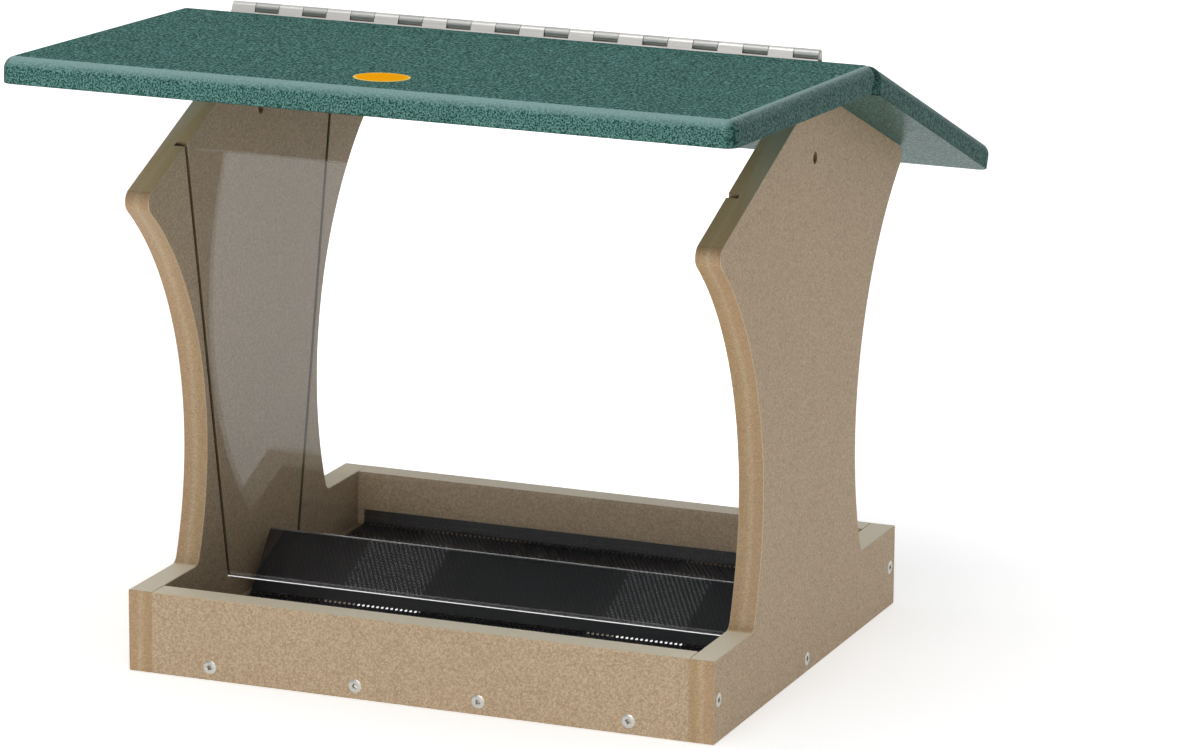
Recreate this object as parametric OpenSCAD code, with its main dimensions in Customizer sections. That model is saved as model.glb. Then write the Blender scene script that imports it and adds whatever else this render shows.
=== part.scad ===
// Hopper bird feeder: two shaped end panels carry a tray, two clear hopper panels and
// a pitched roof. The front roof board is the lid, hung on a continuous hinge.
// Frame: X along the ridge, +Y to the rear, +Z up. The origin is the middle of the
// footprint, on the surface that the feeder stands on. Sizes are in millimetres.

/* [Body] */
// Length over both end panels
body_l = 301.6; // [290:0.1:340]
// Depth of the tray, front to rear
body_w = 254; // [244:0.1:280]
// Thickness of every board
board_t = 12.7; // [11:0.1:14]
// Height of the rails and of the end panels' shoulders
rail_h = 40.5; // [34:0.1:48]
// Length of the middle floor slat along the ridge
slat_mid_w = 88.9; // [80:0.1:96]
// Open drain gap on each side of the middle slat
drain_gap = 50.8; // [44:0.1:54]

/* [End panels] */
// Height of the gable's point
apex_z = 286.9; // [276:0.1:310]
// Slope of the gable and of the roof boards
pitch = 22.5; // [19:0.1:25]
// Width between the hollow sides at their narrowest
waist_w = 128.8; // [120:0.1:140]
// Height of the narrowest place
waist_z = 100.5; // [92:0.1:108]
// How far the eave corners stay inside the tray's depth, on each side
eave_in = 1.2; // [0.5:0.1:6]
// Rounding of the eave corners
eave_r = 6; // [4:0.1:8]
// Rounding where the hollow side meets the shoulder
shoulder_r = 5; // [3:0.1:8]
// Radius of the hole that a hanging cable goes through
hang_r = 3; // [2:0.1:5]
// Depth of that hole below the gable's point
hang_drop = 33; // [28:0.1:40]

/* [Clear panels] */
// Thickness of a clear panel
panel_t = 2.4; // [2:0.1:3]
// Free space on each face of a clear panel in its slot
slot_play = 0.3; // [0.2:0.05:0.5]
// Depth of the slots in the end panels
slot_depth = 5.6; // [4:0.1:7]
// Distance of a slot's foot from the middle
slot_foot_y = 40.8; // [38:0.1:46]
// Height of a slot's foot
slot_foot_z = 26; // [23:0.1:32]
// Lean of the slots from upright
slot_tilt = 11; // [8:0.1:13]
// Free height between a clear panel and the roof
panel_drop = 1.5; // [0.5:0.1:3]

/* [Seed pan] */
// Thickness of the pan's sheet
pan_t = 0.6; // [0.5:0.05:1.2]
// Free space at each end of the pan
pan_end_gap = 4; // [2:0.1:8]
// Free space between the pan and each rail
pan_side_gap = 0.5; // [0.3:0.1:1.5]
// Height of the turned-up flanges
flange_h = 8; // [6:0.1:12]
// Height of the ridge that sheds the seed
pan_rise = 27.7; // [22:0.1:30]
// Slope of that ridge
pan_slope = 49; // [45:0.1:52]
// Inner radius of the bends
bend_r = 1.5; // [1:0.1:2.5]
// Inner radius along the ridge
ridge_r = 2.5; // [1.5:0.1:4]
// Diameter of a drain hole
drain_d = 3; // [2:0.1:4]
// Spacing of the drain holes
drain_pitch = 15.2; // [13:0.1:20]

/* [Roof] */
// Thickness of the roof boards
roof_t = 12.7; // [11:0.1:14]
// Reach of the roof past each end panel
roof_over_end = 30.8; // [20:0.1:45]
// Level distance from the ridge to the underside's front edge
roof_run = 171.4; // [155:0.1:190]
// Rounding of the top edges
roof_round = 6; // [3:0.1:6.2]
// Rounding of the outer corners, seen from above
roof_corner = 6.4; // [6.3:0.1:12]
// Free height between the closed lid and the gables
lid_seat = 0.2; // [0.1:0.05:0.5]
// Angle that the lid stands open, from closed
lid_open = 25.4; // [0:0.1:60]

/* [Hinge] */
// Length of the continuous hinge
hinge_l = 304.8; // [290:0.1:330]
// Knuckles along the hinge, half of them on each leaf
knuckle_n = 24; // [16:2:30]
// Free space between neighbouring knuckles
knuckle_gap = 0.2; // [0.1:0.05:0.4]
// Radius of the hinge pin
pin_r = 1.45; // [1.2:0.05:1.6]
// Free space round the pin
pin_play = 0.05; // [0.02:0.01:0.08]
// Thickness of a leaf
leaf_t = 1.1; // [0.9:0.1:1.2]
// Reach of a leaf below the pin's centre
leaf_w = 15; // [14:0.1:15.8]
// Height of the knuckles above the roof boards' edges
hinge_stand = 1.25; // [0.8:0.05:2]
// Spacing of the hinge's screws
hinge_pitch = 50.8; // [44:0.1:54]

/* [Screws] */
// Length of a board screw
screw_l = 31.75; // [26:0.05:34]
// Radius of a board screw's shank
screw_r = 1.75; // [1.5:0.05:2]
// Radius of a board screw's head
screw_head_r = 3.4; // [3:0.1:3.8]
// Distance of a board screw from the end of the slat that it holds
screw_edge = 12.7; // [10:0.1:16]
// Length of a hinge screw
hinge_screw_l = 9.5; // [8:0.1:10]
// Radius of a hinge screw's shank
hinge_screw_r = 1.3; // [1.1:0.05:1.5]
// Radius of a hinge screw's head
hinge_head_r = 2.4; // [2.1:0.1:2.6]
// Free space round a screw in its hole
screw_play = 0.05; // [0.02:0.01:0.1]

/* [Hidden] */

$fn = 64;
taupe = "#B39A7C";
green = "#3F6F63";
clear = [0.86, 0.9, 0.9, 0.35];
black = "#1E1E22";
steel = "#C9C8C4";

tp = tan(pitch);
cp = cos(pitch);
sp = sin(pitch);

// The body's inner faces, and the middles of its boards
in_x = body_l / 2 - board_t;
in_y = body_w / 2 - board_t;
rail_y = body_w / 2 - board_t / 2;
slat_z = board_t / 2;
side_slat_x = slat_mid_w / 2 + drain_gap;

// End panel outline: the eave corner's circle touches the slope, and the hollow side's
// circle has its narrowest place at the waist and touches the eave corner's
eave_y = body_w / 2 - eave_in - eave_r;
eave_z = apex_z - eave_r / cp - tp * eave_y;
waist_off = [waist_w / 2 - eave_y, waist_z - eave_z];
waist_r = (waist_off * waist_off - eave_r ^ 2) / (2 * (eave_r - waist_off.x));
hollow_y = waist_w / 2 + waist_r;
shoulder_z = rail_h + shoulder_r;
shoulder_y = hollow_y - sqrt((waist_r - shoulder_r) ^ 2 - (shoulder_z - waist_z) ^ 2);

// Height of a clear panel, foot to top, along its lean
lean_cos = cos(slot_tilt) + tp * sin(slot_tilt);
panel_h = (apex_z - slot_foot_z - tp * slot_foot_y) / lean_cos - panel_drop;
slot_w = panel_t + 2 * slot_play;

// Pan section: centres of its bends, above the floor slats
top_z = pan_rise - ridge_r - pan_t;
foot_z = pan_t + bend_r;
bend_gap = ridge_r + pan_t + bend_r;
slope_l = (top_z + bend_gap * cos(pan_slope) - foot_z) / sin(pan_slope);
foot_y = bend_gap * sin(pan_slope) + slope_l * cos(pan_slope);
pan_y = in_y - pan_side_gap;
lip_y = pan_y - pan_t - bend_r;
pan_l = 2 * (in_x - pan_end_gap);
drain_rows = floor((lip_y - foot_y - drain_d - 2) / (drain_pitch * sin(60)));
drain_step = (lip_y - foot_y - drain_d - 2) / drain_rows;
drain_n = floor((pan_l - 2 * drain_d) / drain_pitch) - 1;

// Hinge and roof
barrel_r = pin_r + pin_play + leaf_t;
ridge_z = apex_z + roof_t / cp - tp * barrel_r;
axis_z = ridge_z + hinge_stand + barrel_r;
knuckle_l = hinge_l / knuckle_n;
notch_z = axis_z - barrel_r - 0.4;
hinge_screw_z = axis_z - (leaf_w + axis_z - ridge_z) / 2;
roof_x = body_l / 2 + roof_over_end;
roof_v = roof_run / cp;
roof_screw_v = [0.24 * roof_v, 0.65 * roof_v];
hang_z = apex_z - hang_drop;
big = 500;
lap = 0.01;

// Draws children in the frame of the rear slope: Y down the slope, Z out of it
module on_slope() translate([0, 0, apex_z]) rotate([-pitch, 0, 0]) children();

// Carries what is drawn for the closed lid to where the lid stands
module lid_frame() {
    translate([0, 0, axis_z]) rotate([-lid_open, 0, 0]) translate([0, 0, -axis_z]) children();
}

// Extrudes an outline drawn in Y and Z along X, centred on X = 0
module along_x(length) rotate([90, 0, 90]) linear_extrude(length, center = true) children();

// Points along an arc from one angle to another
function arc(at, r, from, to) = [for (i = [0 : 8])
    at + r * [cos(from + (to - from) * i / 8), sin(from + (to - from) * i / 8)]];

// A countersunk screw that points down, its head's face at Z = 0. With play it is the
// hole that takes the screw.
module screw(head_r, shank_r, length, play = 0) {
    neck = head_r - shank_r;
    rotate_extrude($fn = 32) polygon([
        [0, 0], [head_r + play, 0], [shank_r + play, -neck],
        [shank_r + play, 2 * shank_r - length], [0.2 + play, -length - play],
        [0, -length - play]]);
}
module board_screw(play = 0) screw(screw_head_r, screw_r, screw_l, play);
module hinge_screw(play = 0) screw(hinge_head_r, hinge_screw_r, hinge_screw_l, play);

// Where the screws go. dir is -1 for the front or the left, 1 for the rear or the right.
module at_rail_screws(dir) {
    for (side = [-1, 1], x = [slat_mid_w / 2 - screw_edge, side_slat_x + screw_edge])
        translate([side * x, dir * body_w / 2, slat_z]) rotate([-90 * dir, 0, 0]) children();
}
module at_end_screws(dir) {
    for (at = [[-rail_y, rail_h / 2], [0, slat_z], [rail_y, rail_h / 2]])
        translate([dir * body_l / 2, at.x, at.y]) rotate([0, 90 * dir, 0]) children();
}
module at_roof_screws(dir) {
    on_slope() for (v = roof_screw_v)
        translate([dir * (in_x + board_t / 2), v, roof_t]) children();
}
module at_hinge_screws(dir) {
    n = floor((hinge_l / 2 - 10) / hinge_pitch + 0.5);
    for (side = [-1, 1], i = [1 : n])
        translate([side * (i - 0.5) * hinge_pitch, dir * (barrel_r - leaf_t), hinge_screw_z])
            rotate([90 * dir, 0, 0]) children();
}

// The frame of a slot or clear panel: its foot at the origin, Z along its lean
module in_slot(dir) {
    translate([0, dir * slot_foot_y, slot_foot_z]) rotate([-dir * slot_tilt, 0, 0]) children();
}

// Half of an end panel's outline. Each rounding laps its neighbours by a hair, so that
// the curves cross instead of only touching.
module end_outline_half() {
    hollow = [hollow_y, waist_z];
    eave = [eave_y, eave_z];
    shoulder = [shoulder_y, shoulder_z];
    outward = (shoulder - hollow) / norm(shoulder - hollow);
    inside = hollow + (waist_r + 3) * outward;
    square([body_w / 2, rail_h]);
    difference() {
        polygon([[0, rail_h / 2], [hollow_y, rail_h / 2], hollow, eave,
                 eave + eave_r * [sp, cp], [0, apex_z]]);
        translate(hollow) circle(r = waist_r, $fn = 128);
    }
    difference() {
        polygon([shoulder, inside, [inside.x, rail_h - 1], [shoulder_y, rail_h - 1]]);
        translate(shoulder) circle(r = shoulder_r + lap);
    }
    translate(eave) circle(r = eave_r + lap);
}

module end_panel(dir) {
    difference() {
        translate([dir * (in_x + board_t / 2), 0, 0]) along_x(board_t) union() {
            end_outline_half();
            mirror([1, 0]) end_outline_half();
        }
        for (face = [-1, 1]) in_slot(face)
            translate([dir * (in_x + slot_depth / 2 - 0.5) - slot_depth / 2 - 0.5, -slot_w / 2, 0])
                cube([slot_depth + 1, slot_w, apex_z]);
        translate([dir * in_x, 0, hang_z]) rotate([0, 90, 0])
            cylinder(r = hang_r, h = 4 * board_t, center = true);
        at_end_screws(dir) board_screw(screw_play);
        at_roof_screws(dir) board_screw(screw_play);
    }
}

module rail(dir) {
    difference() {
        translate([-in_x, dir * rail_y - board_t / 2, 0]) cube([2 * in_x, board_t, rail_h]);
        at_rail_screws(dir) board_screw(screw_play);
        for (end = [-1, 1]) at_end_screws(end) board_screw(screw_play);
    }
}

module floor_slat(from, to) {
    difference() {
        translate([from, -in_y, 0]) cube([to - from, 2 * in_y, board_t]);
        for (dir = [-1, 1]) {
            at_rail_screws(dir) board_screw(screw_play);
            at_end_screws(dir) board_screw(screw_play);
        }
    }
}

// The skilful piece: one sheet with five bends, and drain holes in its two floors.
// Its section is one outline: half of the top face and half of the underside, each as
// points from the ridge to the flange, and then the same points on the other side.
pan_top = concat(
    arc([0, top_z], ridge_r + pan_t, 90, 90 - pan_slope),
    arc([foot_y, foot_z], bend_r, -90 - pan_slope, -90),
    arc([lip_y, foot_z], bend_r, -90, 0),
    [[pan_y - pan_t, flange_h]]);
pan_under = concat(
    [[pan_y, flange_h]],
    arc([lip_y, foot_z], bend_r + pan_t, 0, -90),
    arc([foot_y, foot_z], bend_r + pan_t, -90, -90 - pan_slope),
    arc([0, top_z], ridge_r, 90 - pan_slope, 90));

module pan_section() {
    polygon(concat(
        pan_top, pan_under,
        [for (i = [len(pan_under) - 2 : -1 : 0]) [-pan_under[i].x, pan_under[i].y]],
        [for (i = [len(pan_top) - 1 : -1 : 1]) [-pan_top[i].x, pan_top[i].y]]));
}

module drain_holes() {
    for (dir = [-1, 1], row = [0 : drain_rows]) {
        odd = row % 2;
        for (i = [0 : drain_n - odd])
            translate([(i - (drain_n - odd) / 2) * drain_pitch,
                       dir * (foot_y + drain_d / 2 + 1 + row * drain_step), board_t - 1])
                cylinder(d = drain_d, h = pan_t + 2, $fn = 24);
    }
}

module seed_pan() {
    difference() {
        translate([0, 0, board_t]) along_x(pan_l) pan_section();
        drain_holes();
    }
}

module clear_panel(dir) {
    long = 2 * (in_x + slot_depth - 0.5);
    in_slot(dir) translate([-long / 2, -panel_t / 2, 0]) cube([long, panel_t, panel_h]);
}

// Section of a roof board's rim, from its inside to its rounded outer edge
module rim_section() {
    chamfer = 0.03 * roof_t;
    difference() {
        polygon([[0, 0], [roof_corner - chamfer, 0], [roof_corner, chamfer],
                 [roof_corner, roof_t], [0, roof_t]]);
        translate([roof_corner - roof_round, roof_t - roof_round]) difference() {
            square(roof_round + 1);
            circle(r = roof_round);
        }
    }
}

// One roof board on the rear slope's frame, cut plumb at the ridge
module roof_board() {
    x = roof_x - roof_corner;
    v = roof_v - roof_corner;
    difference() {
        on_slope() union() {
            translate([-x, -20, 0]) cube([2 * x, v + 20, roof_t]);
            translate([0, v, 0]) along_x(2 * x) rim_section();
            for (dir = [0, 1]) mirror([dir, 0, 0]) {
                translate([x, v, 0]) rotate([90, 0, 0]) linear_extrude(v + 20) rim_section();
                translate([x, v, 0]) rotate_extrude(angle = 90) rim_section();
            }
        }
        translate([-big, barrel_r - big, 0]) cube([2 * big, big, big]);
    }
}

// Half of the hinge: a leaf with every second knuckle, notched for the other half
module hinge_leaf(dir, first) {
    face = dir * barrel_r;
    inside = dir * (barrel_r - leaf_t);
    difference() {
        union() {
            translate([-hinge_l / 2, min(face, inside), axis_z - leaf_w])
                cube([hinge_l, leaf_t, leaf_w + notch_z - axis_z]);
            for (i = [first : 2 : knuckle_n - 1])
                translate([(i + 0.5) * knuckle_l - hinge_l / 2, 0, 0])
                    along_x(knuckle_l - knuckle_gap) union() {
                        translate([min(face, inside), ridge_z - leaf_t])
                            square([leaf_t, axis_z - ridge_z + leaf_t]);
                        translate([0, axis_z]) difference() {
                            circle(r = barrel_r);
                            circle(r = pin_r + pin_play);
                        }
                    }
        }
        at_hinge_screws(dir) hinge_screw(screw_play);
    }
}

module end_panel_left() color(taupe) end_panel(-1);
module end_panel_right() color(taupe) end_panel(1);
module front_rail() color(taupe) rail(-1);
module rear_rail() color(taupe) rail(1);
module floor_slat_left() color(taupe) floor_slat(-in_x, -side_slat_x);
module floor_slat_middle() color(taupe) floor_slat(-slat_mid_w / 2, slat_mid_w / 2);
module floor_slat_right() color(taupe) floor_slat(side_slat_x, in_x);
module bent_pan() color(black) seed_pan();
module clear_panel_front() color(clear) clear_panel(-1);
module clear_panel_rear() color(clear) clear_panel(1);
module roof_rear() color(green) difference() {
    roof_board();
    for (dir = [-1, 1]) at_roof_screws(dir) board_screw(screw_play);
    at_hinge_screws(1) hinge_screw(screw_play);
}
module roof_front() color(green) lid_frame() difference() {
    translate([0, 0, lid_seat / cp]) mirror([0, 1, 0]) roof_board();
    at_hinge_screws(-1) hinge_screw(screw_play);
}
module hinge_leaf_rear() color(steel) hinge_leaf(1, 1);
module hinge_leaf_front() color(steel) lid_frame() hinge_leaf(-1, 0);
module hinge_pin() color(steel) translate([0, 0, axis_z]) rotate([0, 90, 0])
    cylinder(r = pin_r, h = hinge_l, center = true);
module hinge_screws_rear() color(steel) at_hinge_screws(1) hinge_screw();
module hinge_screws_front() color(steel) lid_frame() at_hinge_screws(-1) hinge_screw();
module front_rail_screws() color(steel) at_rail_screws(-1) board_screw();
module rear_rail_screws() color(steel) at_rail_screws(1) board_screw();
module end_screws_left() color(steel) at_end_screws(-1) board_screw();
module end_screws_right() color(steel) at_end_screws(1) board_screw();
module roof_screws() color(steel) for (dir = [-1, 1]) at_roof_screws(dir) board_screw();

end_panel_left();
end_panel_right();
front_rail();
rear_rail();
floor_slat_left();
floor_slat_middle();
floor_slat_right();
bent_pan();  // seed_pan
clear_panel_front();
clear_panel_rear();
roof_rear();
roof_front();
hinge_leaf_rear();
hinge_leaf_front();
hinge_pin();
hinge_screws_rear();
hinge_screws_front();
front_rail_screws();
rear_rail_screws();
end_screws_left();
end_screws_right();
roof_screws();
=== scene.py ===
import math

import bpy
from mathutils import Matrix, Vector


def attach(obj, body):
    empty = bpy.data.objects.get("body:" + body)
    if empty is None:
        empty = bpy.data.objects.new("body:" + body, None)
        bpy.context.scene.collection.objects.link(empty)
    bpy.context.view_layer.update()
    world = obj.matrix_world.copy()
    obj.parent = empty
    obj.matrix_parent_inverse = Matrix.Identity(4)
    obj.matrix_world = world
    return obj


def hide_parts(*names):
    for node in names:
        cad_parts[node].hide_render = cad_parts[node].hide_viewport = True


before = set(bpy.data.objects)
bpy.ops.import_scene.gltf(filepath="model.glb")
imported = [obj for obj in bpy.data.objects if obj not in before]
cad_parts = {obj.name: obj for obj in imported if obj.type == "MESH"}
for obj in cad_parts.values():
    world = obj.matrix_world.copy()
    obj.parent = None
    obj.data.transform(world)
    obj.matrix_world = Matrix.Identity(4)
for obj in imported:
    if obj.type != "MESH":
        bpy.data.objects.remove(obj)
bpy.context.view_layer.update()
MM = 0.001

# Sizes that the scene repeats from the part's source, in millimetres
BODY_L = 301.6
BODY_W = 254.0
BOARD = 12.7
RAIL_H = 40.5
SLAT_MID = 88.9
DRAIN_GAP = 50.8
PITCH = math.radians(22.5)
LID_OPEN = math.radians(25.4)
APEX_Z = 286.9
ROOF_T = 12.7
ROOF_RUN = 171.4
BARREL_R = 2.6
HINGE_STAND = 1.25
SCREW_HEAD_R = 3.4
SCREW_R = 1.75
SCREW_L = 31.75
SCREW_EDGE = 12.7
AXIS_Z = APEX_Z + ROOF_T / math.cos(PITCH) - math.tan(PITCH) * BARREL_R + HINGE_STAND + BARREL_R
IN_X = BODY_L / 2 - BOARD
IN_Y = BODY_W / 2 - BOARD


# Camera

def aim_camera():
    """The view of the photograph: a long lens, a little above the tray and to the right."""
    azimuth, elevation, roll = (math.radians(a) for a in (21.798, 14.285, 0.428))
    distance, across, up_shift = 2.93909, 0.039758, 0.128611
    back = Vector((math.sin(azimuth) * math.cos(elevation),
                   -math.cos(azimuth) * math.cos(elevation), math.sin(elevation)))
    level = Vector((math.cos(azimuth), math.sin(azimuth), 0))
    above = back.cross(level)
    right = level * math.cos(roll) + above * math.sin(roll)
    up = above * math.cos(roll) - level * math.sin(roll)
    data = bpy.data.cameras.new("photo_camera")
    data.lens = 179.03
    data.sensor_width = 36
    data.clip_start = 0.1
    data.clip_end = 50
    camera = bpy.data.objects.new("photo_camera", data)
    bpy.context.collection.objects.link(camera)
    turn = Matrix((right, up, back)).transposed().to_4x4()
    camera.matrix_world = Matrix.Translation(back * distance + right * across + up * up_shift) @ turn
    bpy.context.scene.camera = camera


# Materials. A noise's scale is 1000 over the size of its patches in millimetres.

TAUPE_PALE = "#CAB699"
TAUPE_DARK = "#957F64"
GREEN_BASE = "#26524B"
GREEN_PALE = "#659089"
GREEN_DARK = "#0F2E29"


def srgb(code):
    """A hex colour, as linear light."""
    parts = [int(code[i:i + 2], 16) / 255 for i in (1, 3, 5)]
    return [p / 12.92 if p <= 0.04045 else ((p + 0.055) / 1.055) ** 2.4 for p in parts] + [1.0]


def put(tree, kind, *values, stops=(), **settings):
    """Adds a node. The values feed its sockets in order, or by name in a dict that comes
    last. Each is a number, a hex colour, a socket, or a node, whose first output is taken.
    stops gives a colour ramp its places and colours."""
    item = tree.nodes.new("ShaderNode" + kind)
    for name, value in settings.items():
        setattr(item, name, value)
    named = values[-1] if values and isinstance(values[-1], dict) else {}
    feeds = list(zip([s for s in item.inputs if s.enabled], values[:-1] if named else values))
    feeds += [(item.inputs[name], value) for name, value in named.items()]
    for socket, value in feeds:
        if isinstance(value, bpy.types.Node):
            value = next(out for out in value.outputs if out.enabled)
        if isinstance(value, bpy.types.NodeSocket):
            tree.links.new(value, socket)
        else:
            socket.default_value = srgb(value) if isinstance(value, str) else value
    if stops:
        steps = item.color_ramp.elements
        while len(steps) < len(stops):
            steps.new(0.5)
        for step, (at, colour) in zip(steps, stops):
            step.position = at
            step.color = srgb(colour)
    return item


def start_material(name):
    """An empty material, and the places and directions on the piece that wears it."""
    material = bpy.data.materials.new(name)
    material.use_nodes = True
    tree = material.node_tree
    tree.nodes.clear()
    return material, tree, put(tree, "TexCoord").outputs


def painted_crevice_shade(tree, colour, shade):
    """Paints shade into slots and bores: the colour turns to the shade colour where ambient occlusion
    finds other surfaces close around.
    """
    around = put(tree, "AmbientOcclusion", {"Distance": 4 * MM}, samples=4, only_local=True)
    open_sky = put(tree, "MapRange", around.outputs["AO"], 0.55, 0.95)
    return put(tree, "Mix", open_sky, shade, colour, data_type="RGBA")


def taupe_board(name, base, skin_axis, banded=False):
    """Recycled HDPE board, pressed and sawn. It is flecked all through, and its two skins
    have a faint stipple. The flecks are drawn 0.85 mm wide, coarser than the real ones, to
    show. Sawn edges are smoother and paler. On the end panels they have a golden band near
    one skin and a paler streak down the middle."""
    material, tree, place = start_material(name)
    flecks = put(tree, "TexNoise", place["Object"], 1000 / 0.85, 1.5, 0.6)
    stipple = put(tree, "TexNoise", place["Object"], 1000 / 0.9, 2.0, 0.6)
    clouds = put(tree, "TexNoise", place["Object"], 1000 / 45, 2.0, 0.6)
    colour = put(tree, "ValToRGB", flecks, stops=[(0.26, TAUPE_DARK), (0.5, base), (0.74, TAUPE_PALE)])
    cloudy = put(tree, "Math", clouds, 0.14, operation="MULTIPLY")
    colour = put(tree, "Mix", cloudy, colour, TAUPE_DARK, data_type="RGBA")
    square_on = put(tree, "VectorMath", place["Normal"], skin_axis, operation="DOT_PRODUCT")
    square_on = put(tree, "Math", square_on, operation="ABSOLUTE")
    skin = put(tree, "MapRange", square_on, 0.3, 0.6)
    edge = put(tree, "Mix", 0.25, colour, TAUPE_PALE, data_type="RGBA")
    if banded:
        # How deep a point lies under the panel's inner skin, with a little wander
        at = put(tree, "SeparateXYZ", place["Object"]).outputs
        wander = put(tree, "TexNoise", place["Object"], 1000 / 30, 2.0, 0.6)
        wander = put(tree, "Math", wander, 2.5 * MM, -1.25 * MM, operation="MULTIPLY_ADD")
        depth = put(tree, "Math", at["X"], operation="ABSOLUTE")
        depth = put(tree, "Math", depth, wander, operation="ADD")
        depth = put(tree, "MapRange", depth, IN_X * MM, (IN_X + BOARD) * MM)
        band = put(tree, "ValToRGB", depth, stops=[
            (0.0, "#EAE0CE"), (0.16, "#E7D8C0"), (0.34, "#ECE1CD"), (0.52, "#F8F4EC"),
            (0.66, "#EFE1D0"), (0.95, "#EBDCC9")])
        edge = put(tree, "Mix", 1.0, edge, band, data_type="RGBA", blend_type="MULTIPLY")
    # Painted light: edges that face upwards are painted lighter, golden where they slope and paler where
    # they lie flat, for the light that falls on them
    upward = put(tree, "VectorMath", place["Normal"], (0, 0, 1), operation="DOT_PRODUCT")
    painted_slope_light = put(tree, "MapRange", upward, 0.86, 0.92, 0, 0.4)
    edge = put(tree, "Mix", painted_slope_light, edge, "#D9BF92", data_type="RGBA")
    painted_top_light = put(tree, "MapRange", upward, 0.94, 0.99, 0, 0.75)
    edge = put(tree, "Mix", painted_top_light, edge, "#E6DCC7", data_type="RGBA")
    colour = put(tree, "Mix", skin, edge, colour, data_type="RGBA")
    # Painted highlight: the eased corners between skin and edge are painted paler, for the light they
    # catch
    past_edge = put(tree, "MapRange", square_on, 0.2, 0.45)
    short_of_skin = put(tree, "MapRange", square_on, 0.97, 0.85, 0, 0.5)
    painted_edge_highlight = put(tree, "Math", past_edge, short_of_skin, operation="MULTIPLY")
    colour = put(tree, "Mix", painted_edge_highlight, colour, "#E2D4B8", data_type="RGBA")
    bump = put(tree, "Bump", {
        "Height": put(tree, "Math", flecks, 0.4, stipple, operation="MULTIPLY_ADD"),
        "Strength": put(tree, "MapRange", skin, 0, 1, 0.06, 0.26), "Distance": 0.12 * MM})
    # Painted shade in slots and bores, over the board's colour
    shader = put(tree, "BsdfPrincipled", {
        "Base Color": painted_crevice_shade(tree, colour, "#140E09"),
        "Roughness": put(tree, "MapRange", skin, 0, 1, 0.46, 0.6),
        "IOR": 1.54, "Specular IOR Level": 0.35, "Normal": bump})
    put(tree, "OutputMaterial", shader)
    return material


def green_board(name, up):
    """Green recycled HDPE board, pressed and routed. Its top skin has a matt stipple, its
    routed rim is smooth and shows the flecks more strongly, and its underside is the
    sheet's smoother face. The flecks are drawn about a millimetre wide, coarser than the
    real ones, to show."""
    material, tree, place = start_material(name)
    flecks = put(tree, "TexNoise", place["Object"], 1000 / 0.8, 1.5, 0.6)
    broad = put(tree, "TexNoise", place["Object"], 1000 / 1.25, 1.5, 0.6)
    stipple = put(tree, "TexNoise", place["Object"], 1000 / 0.9, 2.0, 0.6)
    clouds = put(tree, "TexNoise", place["Object"], 1000 / 70, 2.0, 0.6)
    level = put(tree, "VectorMath", place["Normal"], up, operation="DOT_PRODUCT")
    endward = put(tree, "VectorMath", place["Normal"], (1, 0, 0), operation="DOT_PRODUCT")
    endward = put(tree, "Math", endward, operation="ABSOLUTE")
    ends = put(tree, "MapRange", endward, 0.2, 0.6)
    top = put(tree, "MapRange", level, 0.965, 0.995)
    under = put(tree, "MapRange", level, -0.9, -0.97)
    off_top = put(tree, "Math", 1.0, top, operation="SUBTRACT")
    off_under = put(tree, "Math", 1.0, under, operation="SUBTRACT")
    leaning = put(tree, "MapRange", level, 0.2, 0.8)
    routed = put(tree, "Math", leaning, off_top, operation="MULTIPLY")
    # The two faces of the sheet
    plain = put(tree, "ValToRGB", broad, stops=[(0.39, GREEN_DARK), (0.5, GREEN_BASE), (0.62, GREEN_PALE)])
    plain = put(tree, "Mix", 1.0, plain, "#F0FFFF", data_type="RGBA", blend_type="MULTIPLY")
    # The edges, darker at the two ends of the board
    edge_flecks = put(tree, "Mix", ends, flecks, broad)
    strong = put(tree, "ValToRGB", edge_flecks,
                 stops=[(0.3, GREEN_DARK), (0.44, GREEN_BASE), (0.59, GREEN_PALE)])
    end_shade = put(tree, "Math", ends, 0.45, operation="MULTIPLY")
    strong = put(tree, "Mix", end_shade, strong, GREEN_DARK, data_type="RGBA")
    faces = put(tree, "Math", top, under, operation="MAXIMUM")
    colour = put(tree, "Mix", faces, strong, plain, data_type="RGBA")
    # Painted highlight: the routed rim is painted pale, less so at the board's ends, for the lamp's sheen
    # on it
    rim_highlight_share = put(tree, "MapRange", ends, 0, 1, 0.75, 0.05)
    painted_rim_highlight = put(tree, "Math", routed, rim_highlight_share, operation="MULTIPLY")
    colour = put(tree, "Mix", painted_rim_highlight, colour, "#8AAAA8", data_type="RGBA")
    cloudy = put(tree, "Math", clouds, 0.15, operation="MULTIPLY")
    colour = put(tree, "Mix", cloudy, colour, GREEN_DARK, data_type="RGBA")
    # Painted shade: faces that lean downwards, short of the underside, are painted dark, for the shade
    # along  the lower edge
    overhang = put(tree, "MapRange", level, -0.2, -0.5, 0, 0.7)
    painted_lower_edge_shade = put(tree, "Math", overhang, off_under, operation="MULTIPLY")
    colour = put(tree, "Mix", painted_lower_edge_shade, colour, "#0C211E", data_type="RGBA")
    rough = put(tree, "MapRange", top, 0, 1, 0.55, 0.75)
    rough = put(tree, "Math", routed, -0.2, rough, operation="MULTIPLY_ADD")
    rough = put(tree, "Math", under, -0.22, rough, operation="MULTIPLY_ADD")
    bump = put(tree, "Bump", {
        "Height": put(tree, "Math", flecks, 0.4, stipple, operation="MULTIPLY_ADD"),
        "Strength": put(tree, "MapRange", top, 0, 1, 0.08, 0.33), "Distance": 0.15 * MM})
    # Painted shade in slots and bores, over the board's colour
    shader = put(tree, "BsdfPrincipled", {
        "Base Color": painted_crevice_shade(tree, colour, "#0A1613"), "Roughness": rough,
        "IOR": 1.54, "Specular IOR Level": 0.08, "Normal": bump})
    put(tree, "OutputMaterial", shader)
    return material


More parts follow.
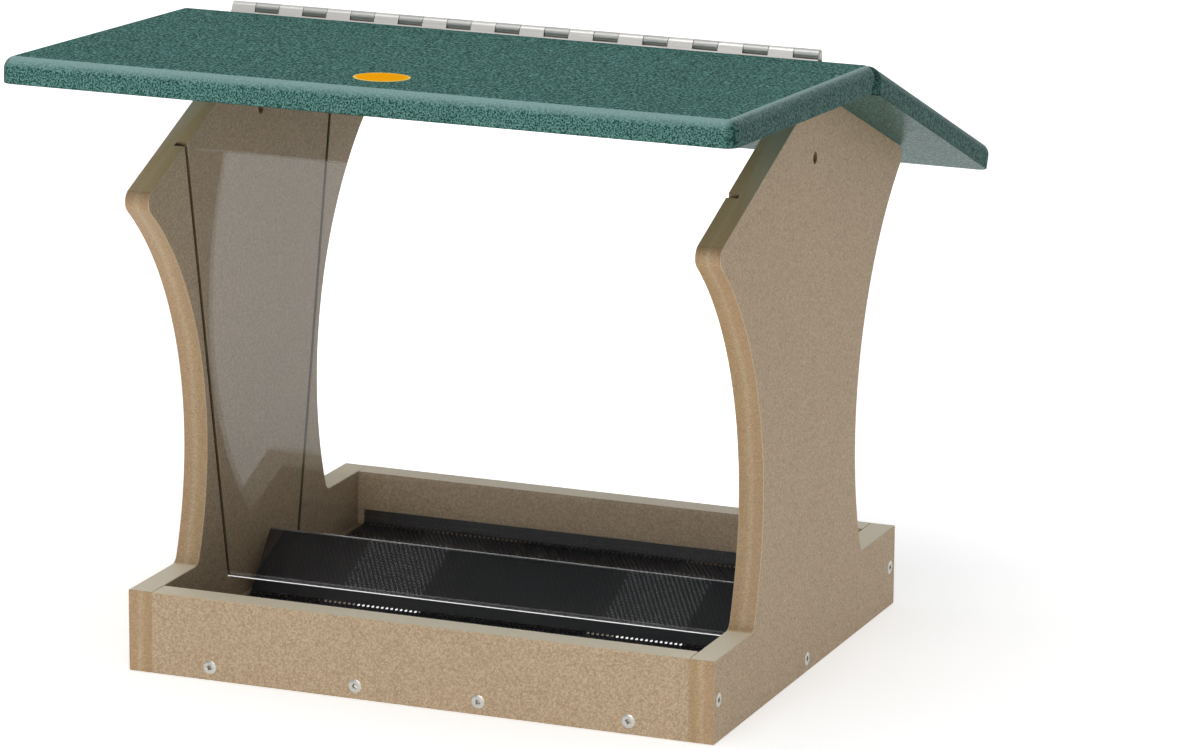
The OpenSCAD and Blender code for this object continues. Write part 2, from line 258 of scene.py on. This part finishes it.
def clear_sheet(name):
    """Clear extruded polycarbonate sheet, sawn to size: glossy faces, and a lower edge with a painted
    glow, which emits white along its corner in place of the light that the sheet carries down to it.
    The other level edges hardly show."""
    material, tree, place = start_material(name)
    face = put(tree, "VectorMath", place["Normal"], (0, 1, 0), operation="DOT_PRODUCT")
    face = put(tree, "Math", face, operation="ABSOLUTE")
    face = put(tree, "Math", face, 0.93, operation="GREATER_THAN")
    level = put(tree, "VectorMath", place["Normal"], (0, 0, 1), operation="DOT_PRODUCT")
    level = put(tree, "Math", level, operation="ABSOLUTE")
    level = put(tree, "Math", level, 0.3, operation="GREATER_THAN")
    # Painted glow: level edges below this height emit white light
    corner_top = 26.0 * MM
    height = put(tree, "SeparateXYZ", place["Object"]).outputs["Z"]
    low = put(tree, "Math", height, corner_top, operation="LESS_THAN")
    painted_edge_glow = put(tree, "Math", level, low, operation="MULTIPLY")
    unseen = put(tree, "Math", level, painted_edge_glow, operation="SUBTRACT")
    glass = put(tree, "BsdfPrincipled", {
        "Base Color": "#FCFCFC", "Roughness": 0.0, "IOR": 1.0, "Transmission Weight": 1.0,
        "Coat Weight": 1.0, "Coat Roughness": 0.01, "Coat IOR": 1.585})
    frosted = put(tree, "BsdfPrincipled", {
        "Base Color": "#F8F8F8", "Roughness": 0.5, "IOR": 1.585, "Emission Color": "#FFFFFF",
        "Emission Strength": put(tree, "Math", painted_edge_glow, 0.8, operation="MULTIPLY"),
        "Alpha": put(tree, "MapRange", unseen, 0, 1, 1.0, 0.06)})
    sheet = put(tree, "MixShader", face, frosted, glass)
    ray = put(tree, "LightPath").outputs
    through = put(tree, "BsdfTransparent", "#F3F3F3")
    put(tree, "OutputMaterial", put(tree, "MixShader", ray["Is Shadow Ray"], sheet, through))
    return material


def coated_sheet(name):
    """Black powder-coated sheet, punched and bent. Its coat has an even pebble with a low
    sheen, drawn 0.6 mm wide, coarser than the real one, to show. Along the ridge's bend a
    painted highlight makes the sheet pale, metallic and glossier."""
    material, tree, place = start_material(name)
    pebble = put(tree, "TexNoise", place["Object"], 1000 / 0.6, 1.0, 0.6)
    colour = put(tree, "ValToRGB", pebble, stops=[(0.35, "#18181B"), (0.65, "#232327")])
    off_ridge = put(tree, "SeparateXYZ", place["Object"]).outputs["Y"]
    off_ridge = put(tree, "Math", off_ridge, operation="ABSOLUTE")
    ridge = put(tree, "MapRange", off_ridge, 1.6 * MM, 0.8 * MM)
    # Painted highlight along the ridge's bend
    painted_ridge_highlight = put(tree, "Math", ridge, 0.7, operation="MULTIPLY")
    bump = put(tree, "Bump", {
        "Height": pebble, "Strength": put(tree, "MapRange", ridge, 0, 1, 0.15, 0),
        "Distance": 0.05 * MM})
    shader = put(tree, "BsdfPrincipled", {
        "Base Color": put(tree, "Mix", painted_ridge_highlight, colour, "#A4A4A8", data_type="RGBA"),
        "Roughness": put(tree, "MapRange", ridge, 0, 1, 0.38, 0.16), "Metallic": painted_ridge_highlight,
        "IOR": 1.5, "Specular IOR Level": 0.5, "Normal": bump})
    put(tree, "OutputMaterial", shader)
    return material


def stainless(name, dark, pale, roughness):
    """Stainless steel, drawn along X, so that its lines run along the piece. They are drawn
    25 mm long and 0.25 mm wide, coarser than the real ones, to show."""
    material, tree, place = start_material(name)
    lines_along = put(tree, "Mapping", place["Object"],
                      {"Scale": (1000 / 25, 1000 / 0.25, 1000 / 0.25)})
    lines = put(tree, "TexNoise", lines_along, 1.0, 2.0)
    shader = put(tree, "BsdfPrincipled", {
        "Base Color": put(tree, "ValToRGB", lines, stops=[(0.3, dark), (0.7, pale)]),
        "Metallic": 1.0, "Roughness": roughness,
        "Normal": put(tree, "Bump", {"Height": lines, "Strength": 0.1, "Distance": 0.02 * MM})})
    put(tree, "OutputMaterial", shader)
    return material


def printed_vinyl(name, dark, pale):
    """Printed vinyl film: a satin face and an even colour, with the faint mottle of its ink."""
    material, tree, place = start_material(name)
    ink = put(tree, "TexNoise", place["Object"], 1000 / 0.8, 2.0, 0.6)
    shader = put(tree, "BsdfPrincipled", {
        "Base Color": put(tree, "ValToRGB", ink, stops=[(0.3, dark), (0.7, pale)]),
        "Roughness": 0.6, "IOR": 1.5, "Specular IOR Level": 0.0})
    put(tree, "OutputMaterial", shader)
    return material


def dress(name, material):
    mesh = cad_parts[name].data
    mesh.materials.clear()
    mesh.materials.append(material)


# Modelling helpers

def pick(*pieces):
    """Selects these pieces and nothing else. The first is the one that is worked on."""
    if bpy.context.object and bpy.context.object.mode != "OBJECT":
        bpy.ops.object.mode_set(mode="OBJECT")
    bpy.ops.object.select_all(action="DESELECT")
    for piece in pieces:
        piece.select_set(True)
    if pieces:
        bpy.context.view_layer.objects.active = pieces[0]


def apply_all(piece):
    bpy.context.view_layer.objects.active = piece
    for modifier in list(piece.modifiers):
        bpy.ops.object.modifier_apply(modifier=modifier.name)


def turn_outwards(merge=None):
    """Turns the faces of the picked piece outwards, once points within merge millimetres of
    each other are one."""
    bpy.ops.object.mode_set(mode="EDIT")
    bpy.ops.mesh.select_all(action="SELECT")
    if merge:
        bpy.ops.mesh.remove_doubles(threshold=merge * MM)
    bpy.ops.mesh.normals_make_consistent(inside=False)
    bpy.ops.object.mode_set(mode="OBJECT")


def finish_piece(piece, name, body, material, replaced=None, smooth=None):
    """Names and dresses a piece, hangs it on the body that it rides on, and hides the node that it
    stands for. Edges under smooth degrees are shaded smooth."""
    pick(piece)
    bpy.ops.object.transform_apply(location=True, rotation=True, scale=True)
    if smooth:
        bpy.ops.object.shade_smooth_by_angle(angle=math.radians(smooth))
    piece.name = name
    piece.data.name = name
    piece.data.materials.clear()
    piece.data.materials.append(material)
    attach(piece, body)
    if replaced:
        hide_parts(replaced)


def eased(node, body, material, width):
    """A copy of a solid whose sharp edges are eased by width millimetres."""
    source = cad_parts[node]
    piece = bpy.data.objects.new(node + "_eased", source.data.copy())
    bpy.context.collection.objects.link(piece)
    piece.data.transform(source.matrix_world)
    pick(piece)
    bpy.ops.object.mode_set(mode="EDIT")
    bpy.ops.mesh.select_all(action="SELECT")
    bpy.ops.mesh.remove_doubles(threshold=0.002 * MM)
    bpy.ops.mesh.dissolve_limited(angle_limit=math.radians(0.5))
    bpy.ops.object.mode_set(mode="OBJECT")
    bevel = piece.modifiers.new("eased", "BEVEL")
    bevel.width = width * MM
    bevel.segments = 2
    bevel.limit_method = "ANGLE"
    bevel.angle_limit = math.radians(50)
    bevel.use_clamp_overlap = False
    apply_all(piece)
    bpy.ops.object.shade_smooth_by_angle(angle=math.radians(48))
    normals = piece.modifiers.new("normals", "WEIGHTED_NORMAL")
    normals.keep_sharp = True
    apply_all(piece)
    finish_piece(piece, node + "_eased", body, material, node)


def select_at(mesh, test):
    """Selects the vertices that pass, and the edges and faces between them."""
    bpy.ops.object.mode_set(mode="OBJECT")
    for part in (mesh.vertices, mesh.edges, mesh.polygons):
        part.foreach_set("select", [False] * len(part))
    for vertex in mesh.vertices:
        vertex.select = test(vertex.co)
    for part in (mesh.edges, mesh.polygons):
        for item in part:
            item.select = all(mesh.vertices[i].select for i in item.vertices)
    bpy.ops.object.mode_set(mode="EDIT")


# Seed pan: the real sheet's fine perforation

PAN_T = 0.6
PAN_END_PLAY = 4
PAN_SIDE_PLAY = 0.5
PAN_L = 2 * (IN_X - PAN_END_PLAY)
HOLE_R = 0.88
HOLE_PITCH = 2.54
HOLE_ROW = HOLE_PITCH * math.sin(math.radians(60))
# How far up the slope the holes start, and how far short of the flange's flat they end
HOLES_START = 0.8
HOLES_END = 1.0
RIDGE_R = 2.5
BEND_R = 1.5
PAN_RISE = 27.7
PAN_SLOPE = math.radians(49)
FLANGE_H = 8.0


def pan_path():
    """The pan's half section as straight runs and bends, along the sheet's middle:
    (length, turn) pairs, with the turn in radians and positive where it bends upwards."""
    top_z = PAN_RISE - RIDGE_R - PAN_T
    foot_z = PAN_T + BEND_R
    gap = RIDGE_R + PAN_T + BEND_R
    slope = (top_z + gap * math.cos(PAN_SLOPE) - foot_z) / math.sin(PAN_SLOPE)
    foot_y = gap * math.sin(PAN_SLOPE) + slope * math.cos(PAN_SLOPE)
    lip_y = IN_Y - PAN_SIDE_PLAY - PAN_T - BEND_R
    return [((RIDGE_R + PAN_T / 2) * PAN_SLOPE, -PAN_SLOPE), (slope, 0),
            ((BEND_R + PAN_T / 2) * PAN_SLOPE, PAN_SLOPE), (lip_y - foot_y, 0),
            ((BEND_R + PAN_T / 2) * math.pi / 2, math.pi / 2), (FLANGE_H - foot_z, 0)]


def on_path(path, along):
    """Where the middle of the sheet is, so many millimetres along it from the ridge."""
    y, z, heading = 0.0, PAN_RISE - PAN_T / 2, 0.0
    for length, turn in path:
        step = min(along, length)
        if turn:
            r = length / turn
            swing = step / r
            y += r * (math.sin(heading + swing) - math.sin(heading))
            z += r * (math.cos(heading) - math.cos(heading + swing))
            heading += swing
        else:
            y += step * math.cos(heading)
            z += step * math.sin(heading)
        along -= step
        if along <= 0:
            break
    return y, z


def extrude(piece, test, move):
    """Extrudes the boundary edges at the chosen vertices by a distance."""
    select_at(piece.data, test)
    bpy.ops.mesh.extrude_edges_move(TRANSFORM_OT_translate={"value": move})
    bpy.ops.object.mode_set(mode="OBJECT")


def array(piece, count, step):
    modifier = piece.modifiers.new("rows", "ARRAY")
    modifier.count = count
    modifier.use_relative_offset = False
    modifier.use_constant_offset = True
    modifier.constant_offset_displace = step
    modifier.use_merge_vertices = True
    modifier.merge_threshold = 0.02 * MM
    apply_all(piece)


def punched_cell(deep):
    """One hole of the sheet in its own small oblong: a ring of six quads."""
    pick()
    bpy.ops.mesh.primitive_circle_add(vertices=6, radius=HOLE_R * MM, location=(0, 0, 0))
    cell = bpy.context.object
    bpy.ops.object.mode_set(mode="EDIT")
    bpy.ops.mesh.select_all(action="SELECT")
    bpy.ops.mesh.extrude_edges_move(TRANSFORM_OT_translate={"value": (0, 0, 0)})
    bpy.ops.object.mode_set(mode="OBJECT")
    half = HOLE_PITCH / 2 * MM
    for vertex in [v for v in cell.data.vertices if v.select]:
        side = 0 if abs(vertex.co.x) < half / 9 else math.copysign(half, vertex.co.x)
        vertex.co = (side, math.copysign(deep / 2, vertex.co.y), 0)
    return cell


def perforated_half(side, name, material):
    """Half of the pan, from the ridge to the flange: a flat punched sheet, then bent. Its
    holes start just above the bend at the ridge's foot and end on the flange's bend."""
    path = pan_path()
    ends = [0.0]
    for length, _ in path:
        ends.append(ends[-1] + length)
    ridge_end, foot_start, flange_start, flange_end = ends[1], ends[2], ends[5], ends[6]
    first, last = foot_start - HOLES_START, flange_start - HOLES_END
    pairs = round((last - first) / HOLE_ROW / 2)
    deep = (last - first) / pairs / 2 * MM
    count = int(PAN_L / HOLE_PITCH) - 1
    pitch, end = HOLE_PITCH * MM, PAN_L / 2 * MM
    row = punched_cell(deep)
    array(row, count, (pitch, 0, 0))
    for vertex in row.data.vertices:
        vertex.co.x -= (count - 1) / 2 * pitch + pitch / 4
        vertex.co.y += first * MM + deep / 2
    low = min(v.co.x for v in row.data.vertices)
    high = max(v.co.x for v in row.data.vertices)
    extrude(row, lambda p: p.x > high - 0.1 * MM, (pitch / 2, 0, 0))
    extrude(row, lambda p: p.x > high + pitch / 4, (end - high - pitch / 2, 0, 0))
    extrude(row, lambda p: p.x < low + 0.1 * MM, (-end - low, 0, 0))
    # The next row is the same one turned about, so that the holes are staggered
    pick(row)
    bpy.ops.object.duplicate()
    other = bpy.context.object
    for vertex in other.data.vertices:
        vertex.co.x *= -1
        vertex.co.y += deep
    pick(row, other)
    bpy.ops.object.join()
    array(row, pairs, (0, 2 * deep, 0))
    # The plain runs each side of the holes: a narrow strip, and then cuts across where the
    # sheet will bend
    slope_stops = [ridge_end + (first - ridge_end) * 0.97, ridge_end]
    slope_stops += [ridge_end * part for part in (0.8, 0.6, 0.4, 0.2, 0)]
    for at, stops in ((first, slope_stops), (last, [flange_start - 0.5, flange_start, flange_end])):
        for stop in stops:
            extrude(row, lambda p: abs(p.y - at * MM) < 0.02 * MM, (0, (stop - at) * MM, 0))
            at = stop
    for vertex in row.data.vertices:
        y, z = on_path(path, vertex.co.y / MM)
        vertex.co = (vertex.co.x, side * y * MM, (z + BOARD) * MM)
    pick(row)
    turn_outwards(merge=0.02)
    wall = row.modifiers.new("sheet", "SOLIDIFY")
    wall.thickness = PAN_T * MM
    wall.offset = 0
    apply_all(row)
    finish_piece(row, name, "feeder", material, "seed_pan", smooth=25)


# Screws with a square drive

HEAD_LIP = 0.2
SOCKET_R = SCREW_HEAD_R * 0.34
SOCKET_DEEP = SCREW_HEAD_R * 0.5


def drive_screw(turn):
    """A countersunk screw along Z, its head's face at Z = 0, with a square socket."""
    pick()
    bpy.ops.mesh.primitive_cylinder_add(vertices=24, radius=SCREW_HEAD_R * MM, depth=HEAD_LIP * MM,
                                        location=(0, 0, -HEAD_LIP / 2 * MM))
    screw = bpy.context.object
    bpy.ops.object.transform_apply(location=True)
    mesh = screw.data

    def pull(move, factor):
        """Extrudes what is selected, and scales it about the screw's axis."""
        bpy.ops.mesh.extrude_region_move(TRANSFORM_OT_translate={"value": (0, 0, move * MM)})
        bpy.ops.transform.resize(value=(factor, factor, 1), center_override=(0, 0, 0))

    # Rim, then the face inside it, squared to the socket's mouth, and the socket
    rim = 0.1
    select_at(mesh, lambda p: p.z > -HEAD_LIP / 2 * MM)
    pull(rim, 0.94)
    pull(0, 0.6)
    bpy.ops.object.mode_set(mode="OBJECT")
    for vertex in [v for v in mesh.vertices if v.select]:
        around = math.atan2(vertex.co.y, vertex.co.x)
        reach = SOCKET_R * MM / max(abs(math.cos(around)), abs(math.sin(around)))
        vertex.co.x, vertex.co.y = reach * math.cos(around), reach * math.sin(around)
    bpy.ops.object.mode_set(mode="EDIT")
    pull(-SOCKET_DEEP, 0.85)
    # Countersunk neck, shank and tip
    neck = SCREW_HEAD_R - SCREW_R
    tip = 2 * SCREW_R
    select_at(mesh, lambda p: abs(p.z + HEAD_LIP * MM) < 0.01 * MM)
    pull(-neck, SCREW_R / SCREW_HEAD_R)
    pull(HEAD_LIP + neck + tip - SCREW_L, 1)
    pull(-tip, 0.15)
    bpy.ops.object.mode_set(mode="OBJECT")
    for vertex in mesh.vertices:
        vertex.co.z -= rim * MM
    mesh.transform(Matrix.Rotation(math.radians(turn), 4, "Z"))
    return screw


def set_screws(node, places, steel):
    """All the screws of one CAD node as one piece. places are (point, direction that the
    head faces, turn in degrees)."""
    screws = []
    for point, outward, turn in places:
        screw = drive_screw(turn)
        stand = Vector(outward).to_track_quat("Z", "Y").to_matrix().to_4x4()
        screw.data.transform(Matrix.Translation(Vector(point) * MM) @ stand)
        screws.append(screw)
    pick(*screws)
    bpy.ops.object.join()
    turn_outwards()
    finish_piece(screws[0], node + "_driven", "feeder", steel, node, smooth=35)


def set_board_screws(steel):
    """The rails' screws go into the slats, the end panels' into the rails and the middle
    slat, and the rear roof board's into the end panels. Each was left at its own turn."""
    side_slat = SLAT_MID / 2 + DRAIN_GAP
    across = (-side_slat - SCREW_EDGE, -SLAT_MID / 2 + SCREW_EDGE,
              SLAT_MID / 2 - SCREW_EDGE, side_slat + SCREW_EDGE)
    for node, way, turns in (("front_rail_screws", -1, (20, 65, 10, 35)),
                             ("rear_rail_screws", 1, (50, 5, 75, 30))):
        set_screws(node, [((x, way * BODY_W / 2, BOARD / 2), (0, way, 0), turn)
                          for x, turn in zip(across, turns)], steel)
    rail_y = IN_Y + BOARD / 2
    spots = ((-rail_y, RAIL_H / 2), (0, BOARD / 2), (rail_y, RAIL_H / 2))
    for node, way, turns in (("end_screws_left", -1, (40, 15, 80)),
                             ("end_screws_right", 1, (10, 55, 25))):
        set_screws(node, [((way * BODY_L / 2, y, z), (way, 0, 0), turn)
                          for (y, z), turn in zip(spots, turns)], steel)
    out = Vector((0, math.sin(PITCH), math.cos(PITCH)))
    down = Vector((0, math.cos(PITCH), -math.sin(PITCH)))
    panel_x = IN_X + BOARD / 2
    places = []
    for x, part, turn in ((-panel_x, 0.24, 20), (-panel_x, 0.65, 70),
                          (panel_x, 0.24, 35), (panel_x, 0.65, 5)):
        point = Vector((x, 0, APEX_Z)) + down * part * ROOF_RUN / math.cos(PITCH) + out * ROOF_T
        places.append((point, out, turn))
    set_screws("roof_screws", places, steel)


# Sticker on the lid, near its front edge

STICKER_R = 13.2
STICKER_X = -3.4
STICKER_DOWN = 151.5
STICKER_GAP = 0.2


def lid_point(point):
    """A place given for the closed lid, carried to where the lid stands."""
    turn = Matrix.Rotation(-LID_OPEN, 4, "X")
    pivot = Vector((0, 0, AXIS_Z))
    return turn @ (Vector(point) - pivot) + pivot


def sticker(face_vinyl, rim_vinyl):
    """A round vinyl sticker with a raised rim, on the closed lid's slope and then opened."""
    pick()
    bpy.ops.mesh.primitive_circle_add(vertices=72, radius=STICKER_R * MM, fill_type="NGON")
    disc = bpy.context.object
    bpy.ops.object.mode_set(mode="EDIT")
    bpy.ops.mesh.select_all(action="SELECT")
    for factor, lift in ((1, 0.16), (0.985, 0.04), (0.93, 0), (0.985, 0)):
        bpy.ops.mesh.extrude_region_move(TRANSFORM_OT_translate={"value": (0, 0, lift * MM)})
        bpy.ops.transform.resize(value=(factor, factor, 1), center_override=(0, 0, 0))
    turn_outwards()
    slope = Vector((0, -math.cos(PITCH), -math.sin(PITCH)))
    out = Vector((0, -math.sin(PITCH), math.cos(PITCH)))
    point = Vector((STICKER_X, 0, APEX_Z)) + slope * STICKER_DOWN + out * (ROOF_T + STICKER_GAP)
    middle = lid_point(point) * MM
    disc.data.transform(Matrix.Translation(middle) @ Matrix.Rotation(PITCH - LID_OPEN, 4, "X"))
    finish_piece(disc, "round_sticker", "lid", face_vinyl, smooth=25)
    disc.data.materials.append(rim_vinyl)
    for face in disc.data.polygons:
        reach = max((disc.data.vertices[i].co - middle).length for i in face.vertices)
        face.material_index = int(len(face.vertices) < 5 and reach > 0.98 * STICKER_R * MM)


# Stage: a white floor and white surroundings. They light the object at one even level,
# while the camera, mirrors and clear sheets see them at levels of their own.

FLOOR_LIGHT = 0.34
ROOM_LIGHT = 0.37
FLOOR_NEAR, FLOOR_FAR = 0.42, 0.72
FLOOR_MIRRORED = 0.35
ROOM_DIM, ROOM_BRIGHT = 0.12, 0.85


def white_floor():
    """A matt white floor that also glows a little, so that it stays white. It is brighter
    under the feeder, where it shows through the perforated pan."""
    material, tree, place = start_material("white_floor")
    ray = put(tree, "LightPath").outputs
    at = put(tree, "SeparateXYZ", place["Object"]).outputs
    off_x = put(tree, "Math", at["X"], operation="ABSOLUTE")
    off_y = put(tree, "Math", at["Y"], operation="ABSOLUTE")
    within_x = put(tree, "Math", off_x, IN_X * MM, operation="LESS_THAN")
    within_y = put(tree, "Math", off_y, IN_Y * MM, operation="LESS_THAN")
    beneath = put(tree, "Math", within_x, within_y, operation="MULTIPLY")
    away = put(tree, "VectorMath", place["Object"], operation="LENGTH")
    seen = put(tree, "MapRange", away, 0.7, 1.7, FLOOR_NEAR, FLOOR_FAR)
    seen = put(tree, "Math", seen, beneath, operation="MAXIMUM")
    seen = put(tree, "Math", seen, ray["Is Transmission Ray"], operation="MAXIMUM")
    in_mirror = put(tree, "Math", ray["Glossy Depth"], 0.5, operation="GREATER_THAN")
    mirrored = put(tree, "MapRange", beneath, 0, 1, FLOOR_MIRRORED, 1.0)
    shine = put(tree, "Mix", in_mirror, seen, mirrored)
    lighting = put(tree, "Math", ray["Diffuse Depth"], 0.5, operation="GREATER_THAN")
    shine = put(tree, "Mix", lighting, shine, FLOOR_LIGHT)
    paper = put(tree, "BsdfDiffuse", "#F2F2F2")
    white = put(tree, "AddShader", paper, put(tree, "Emission", "#FFFFFF", shine))
    # Open from below, so that the underside can be looked at
    below = put(tree, "NewGeometry").outputs["Backfacing"]
    surface = put(tree, "MixShader", below, white, put(tree, "BsdfTransparent"))
    put(tree, "OutputMaterial", surface)
    return material


def lay_floor():
    pick()
    bpy.ops.mesh.primitive_plane_add(size=12, location=(0, 0, -0.2 * MM))
    floor = bpy.context.object
    floor.name = "studio_floor"
    floor.data.materials.append(white_floor())


def white_room():
    """White all round. In mirrors it is dim to the front and low down, and bright to the
    rear and overhead."""
    world = bpy.data.worlds.new("studio")
    world.use_nodes = True
    tree = world.node_tree
    tree.nodes.clear()
    ray = put(tree, "LightPath").outputs
    way = put(tree, "SeparateXYZ", put(tree, "TexCoord").outputs["Generated"]).outputs
    rear = put(tree, "MapRange", way["Y"], -0.1, 0.3, ROOM_DIM, ROOM_BRIGHT)
    overhead = put(tree, "MapRange", way["Z"], 0.15, 0.6, ROOM_DIM, ROOM_BRIGHT)
    room = put(tree, "Math", rear, overhead, operation="MAXIMUM")
    in_mirror = put(tree, "Math", ray["Glossy Depth"], 0.5, operation="GREATER_THAN")
    shine = put(tree, "Mix", in_mirror, 1.0, room)
    lighting = put(tree, "Math", ray["Diffuse Depth"], 0.5, operation="GREATER_THAN")
    shine = put(tree, "Mix", lighting, shine, ROOM_LIGHT)
    put(tree, "OutputWorld", put(tree, "Background", "#FFFFFF", shine))
    bpy.context.scene.world = world


def soft_light(name, at, aim, size, power):
    data = bpy.data.lights.new(name, "AREA")
    data.shape = "RECTANGLE"
    data.size, data.size_y = size
    data.energy = power
    lamp = bpy.data.objects.new(name, data)
    bpy.context.collection.objects.link(lamp)
    lamp.location = at
    lamp.rotation_euler = (Vector(aim) - Vector(at)).to_track_quat("-Z", "Y").to_euler()


# The feeder, piece by piece

aim_camera()
bpy.context.scene.view_settings.view_transform = "Standard"

taupe_panels = taupe_board("recycled_hdpe_taupe_end_panel", "#B39C7F", (1, 0, 0), banded=True)
taupe_rails = taupe_board("recycled_hdpe_taupe_rail", "#B59C7E", (0, 1, 0))
taupe_slats = taupe_board("recycled_hdpe_taupe_slat", "#B59C7E", (0, 0, 1))
lid_lean = LID_OPEN - PITCH
green_lid = green_board("recycled_hdpe_green_lid", (0, math.sin(lid_lean), math.cos(lid_lean)))
green_roof = green_board("recycled_hdpe_green_roof", (0, math.sin(PITCH), math.cos(PITCH)))
clear = clear_sheet("clear_polycarbonate")
black = coated_sheet("black_powder_coat")
# Painted light: the hinge's leaves are one steel, painted paler on the lid's leaf and darker on the rear
# leaf, for how the light falls on them
leaf_steel = stainless("drawn_stainless_steel", "#BCBAB6", "#D2D0CC", 0.36)
shaded_knuckle_steel = stainless("shaded_dull_stainless_steel", "#A3A3A1", "#B8B8B5", 0.42)
screw_steel = stainless("turned_stainless_steel", "#BDBBB5", "#D8D5CE", 0.3)
amber = printed_vinyl("amber_vinyl", "#F0A010", "#F7AA16")
cream = printed_vinyl("cream_vinyl_border", "#E6C668", "#EDD07A")

# Nodes, body, material, slot, and how many millimetres their edges are eased by
for nodes, body, material, slot, ease in (
        (("end_panel_left", "end_panel_right"), "feeder", taupe_panels, "taupe_board", 0.4),
        (("front_rail", "rear_rail"), "feeder", taupe_rails, "taupe_board", 0.4),
        (("floor_slat_left", "floor_slat_middle", "floor_slat_right"),
         "feeder", taupe_slats, "taupe_board", 0.4),
        (("clear_panel_front", "clear_panel_rear"), "feeder", clear, "clear_sheet", 0.5),
        (("roof_rear",), "feeder", green_roof, "green_board", 0.5),
        (("roof_front",), "lid", green_lid, "green_board", 0.5),
        (("hinge_leaf_rear",), "feeder", shaded_knuckle_steel, "hinge_steel", 0.2),
        (("hinge_leaf_front",), "lid", leaf_steel, "hinge_steel", 0.1)):
    for node in nodes:
        dress(node, material)
        eased(node, body, material, ease)
dress("hinge_pin", leaf_steel)
dress("seed_pan", black)
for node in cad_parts:
    if "screws" in node:
        dress(node, screw_steel)

perforated_half(-1, "seed_pan_front_half", black)
perforated_half(1, "seed_pan_rear_half", black)
set_board_screws(screw_steel)
sticker(amber, cream)

lay_floor()
white_room()
soft_light("overhead_softbox", (0.1, -0.6, 2.0), (0, 0, 0.1), (1.6, 1.2), 15)
soft_light("left_softbox", (-2.3, -0.2, 1.0), (0, 0, 0.15), (1.2, 1.2), 12)
soft_light("front_softbox", (-0.05, -2.4, 0.6), (0, 0, 0.12), (0.9, 0.8), 12)
soft_light("rear_softbox", (0.3, 1.7, 1.7), (0, 0, 0.15), (1.6, 1.2), 5)
